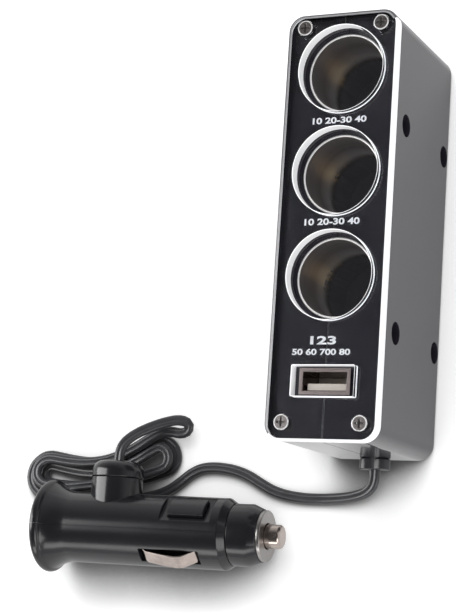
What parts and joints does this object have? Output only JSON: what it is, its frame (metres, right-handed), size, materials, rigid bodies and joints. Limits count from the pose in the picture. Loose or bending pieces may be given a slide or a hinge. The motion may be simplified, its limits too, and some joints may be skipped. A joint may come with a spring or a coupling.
{
  "type": "car power socket splitter",
  "caption": "Slab-shaped splitter box with round accessory sockets and a charging port in its face, and a short cord to a plug.",
  "frame": {"origin": "centre of the case's rear face, on which it lies; the cord, hank and plug lie on the same floor", "axes": "+X out of the case's right side face with the screw wells, +Y along the case away from the cord, +Z out of the sockets"},
  "size_m": [0.1324, 0.1554, 0.0483],
  "materials": {
    "case_plastic": "dark satin gloss",
    "clear_plate": "polished clear",
    "screw_steel": "plated",
    "sleeve_steel": "dull plated inside",
    "cup_plastic": "matte",
    "contact_brass": "satin",
    "spring_steel": "drawn wire",
    "red_wire": "satin",
    "black_wire": "satin",
    "port_steel": "tinned",
    "tongue_plastic": "satin",
    "gold_contact": "plated",
    "board_green": "solder mask",
    "inductor_ferrite": "fired",
    "capacitor_sleeve": "shrink sleeve",
    "chip_plastic": "moulded",
    "cord_rubber": "satin",
    "plug_plastic": "polished",
    "ring_steel": "turned",
    "tip_nickel": "warm nickel plate",
    "fuse_tube": "clear"
  },
  "bodies": {
    "unit": {"left_shell": "case_plastic", "right_shell": "case_plastic", "front_plate": "clear_plate", "plate_screws": "screw_steel", "shell_screws": "screw_steel", "socket_sleeve_1": "sleeve_steel", "socket_sleeve_2": "sleeve_steel", "socket_sleeve_3": "sleeve_steel", "socket_cup_1": "cup_plastic", "socket_cup_2": "cup_plastic", "socket_cup_3": "cup_plastic", "contact_spring_1": "spring_steel", "contact_spring_2": "spring_steel", "contact_spring_3": "spring_steel", "positive_bus": "contact_brass", "negative_bus": "contact_brass", "positive_wire": "red_wire", "negative_wire": "black_wire", "port_shell": "port_steel", "port_tongue": "tongue_plastic", "port_contacts": "gold_contact", "circuit_board": "board_green", "board_inductor": "inductor_ferrite", "board_capacitor": "capacitor_sleeve", "board_chip": "chip_plastic", "cord_grommet": "cord_rubber", "cord_lead": "cord_rubber", "cord_hank": "cord_rubber", "cord_tail": "cord_rubber", "plug_shell_front": "plug_plastic", "plug_shell_back": "plug_plastic", "plug_neck_cap": "plug_plastic", "plug_spring": "spring_steel", "plug_terminal": "contact_brass"},
    "nose_cap": {"plug_nose_cap": "plug_plastic", "plug_end_ring": "ring_steel"},
    "tip": {"plug_tip": "tip_nickel"},
    "fuse": {"fuse_glass": "fuse_tube", "fuse_caps": "tip_nickel"},
    "side_contact_1": {"side_contact_1": "tip_nickel"},
    "side_contact_2": {"side_contact_2": "tip_nickel"},
    "grip_pad_1": {"grip_pad_1": "plug_plastic"},
    "grip_pad_2": {"grip_pad_2": "plug_plastic"},
    "centre_contact_1": {"centre_contact_1": "contact_brass"},
    "centre_contact_2": {"centre_contact_2": "contact_brass"},
    "centre_contact_3": {"centre_contact_3": "contact_brass"}
  },
  "joints": [
    {"name": "plug_cap_slide", "type": "slide", "parent": "unit", "child": "nose_cap", "axis": [0.9983, 0, -0.0587], "range_m": [0, 0.014]},
    {"name": "plug_tip_press", "type": "slide", "parent": "nose_cap", "child": "tip", "axis": [-0.9983, 0, 0.0587], "range_m": [0, 0.003], "stiffness_N_per_m": 1500},
    {"name": "fuse_follow", "type": "slide", "parent": "unit", "child": "fuse", "axis": [-0.9983, 0, 0.0587], "range_m": [0, 0.003], "deforming": ["plug_spring"]},
    {"name": "side_contact_1_flex", "type": "hinge", "parent": "unit", "child": "side_contact_1", "pos_m": [-0.06512, -0.08713, 0.01592], "axis": [0.0436, 0.6691, 0.7419], "range_deg": [0, 9], "stiffness_Nm_per_rad": 0.35},
    {"name": "side_contact_2_flex", "type": "hinge", "parent": "unit", "child": "side_contact_2", "pos_m": [-0.0656, -0.07807, 0.00777], "axis": [-0.0436, -0.6691, -0.7419], "range_deg": [0, 9], "stiffness_Nm_per_rad": 0.35},
    {"name": "grip_pad_1_press", "type": "slide", "parent": "unit", "child": "grip_pad_1", "axis": [-0.0436, -0.6691, -0.7419], "range_m": [0, 0.0008], "stiffness_N_per_m": 2500},
    {"name": "grip_pad_2_press", "type": "slide", "parent": "unit", "child": "grip_pad_2", "axis": [0.0436, 0.6691, 0.7419], "range_m": [0, 0.0008], "stiffness_N_per_m": 2500},
    {"name": "centre_contact_1_press", "type": "slide", "parent": "unit", "child": "centre_contact_1", "axis": [0, 0, -1], "range_m": [0, 0.0015], "stiffness_N_per_m": 1200, "deforming": ["contact_spring_1"]},
    {"name": "centre_contact_2_press", "type": "slide", "parent": "unit", "child": "centre_contact_2", "axis": [0, 0, -1], "range_m": [0, 0.0015], "stiffness_N_per_m": 1200, "deforming": ["contact_spring_2"]},
    {"name": "centre_contact_3_press", "type": "slide", "parent": "unit", "child": "centre_contact_3", "axis": [0, 0, -1], "range_m": [0, 0.0015], "stiffness_N_per_m": 1200, "deforming": ["contact_spring_3"]}
  ],
  "couplings": [
    {"joint": "fuse_follow", "follows": "plug_tip_press", "ratio": 1}
  ]
}
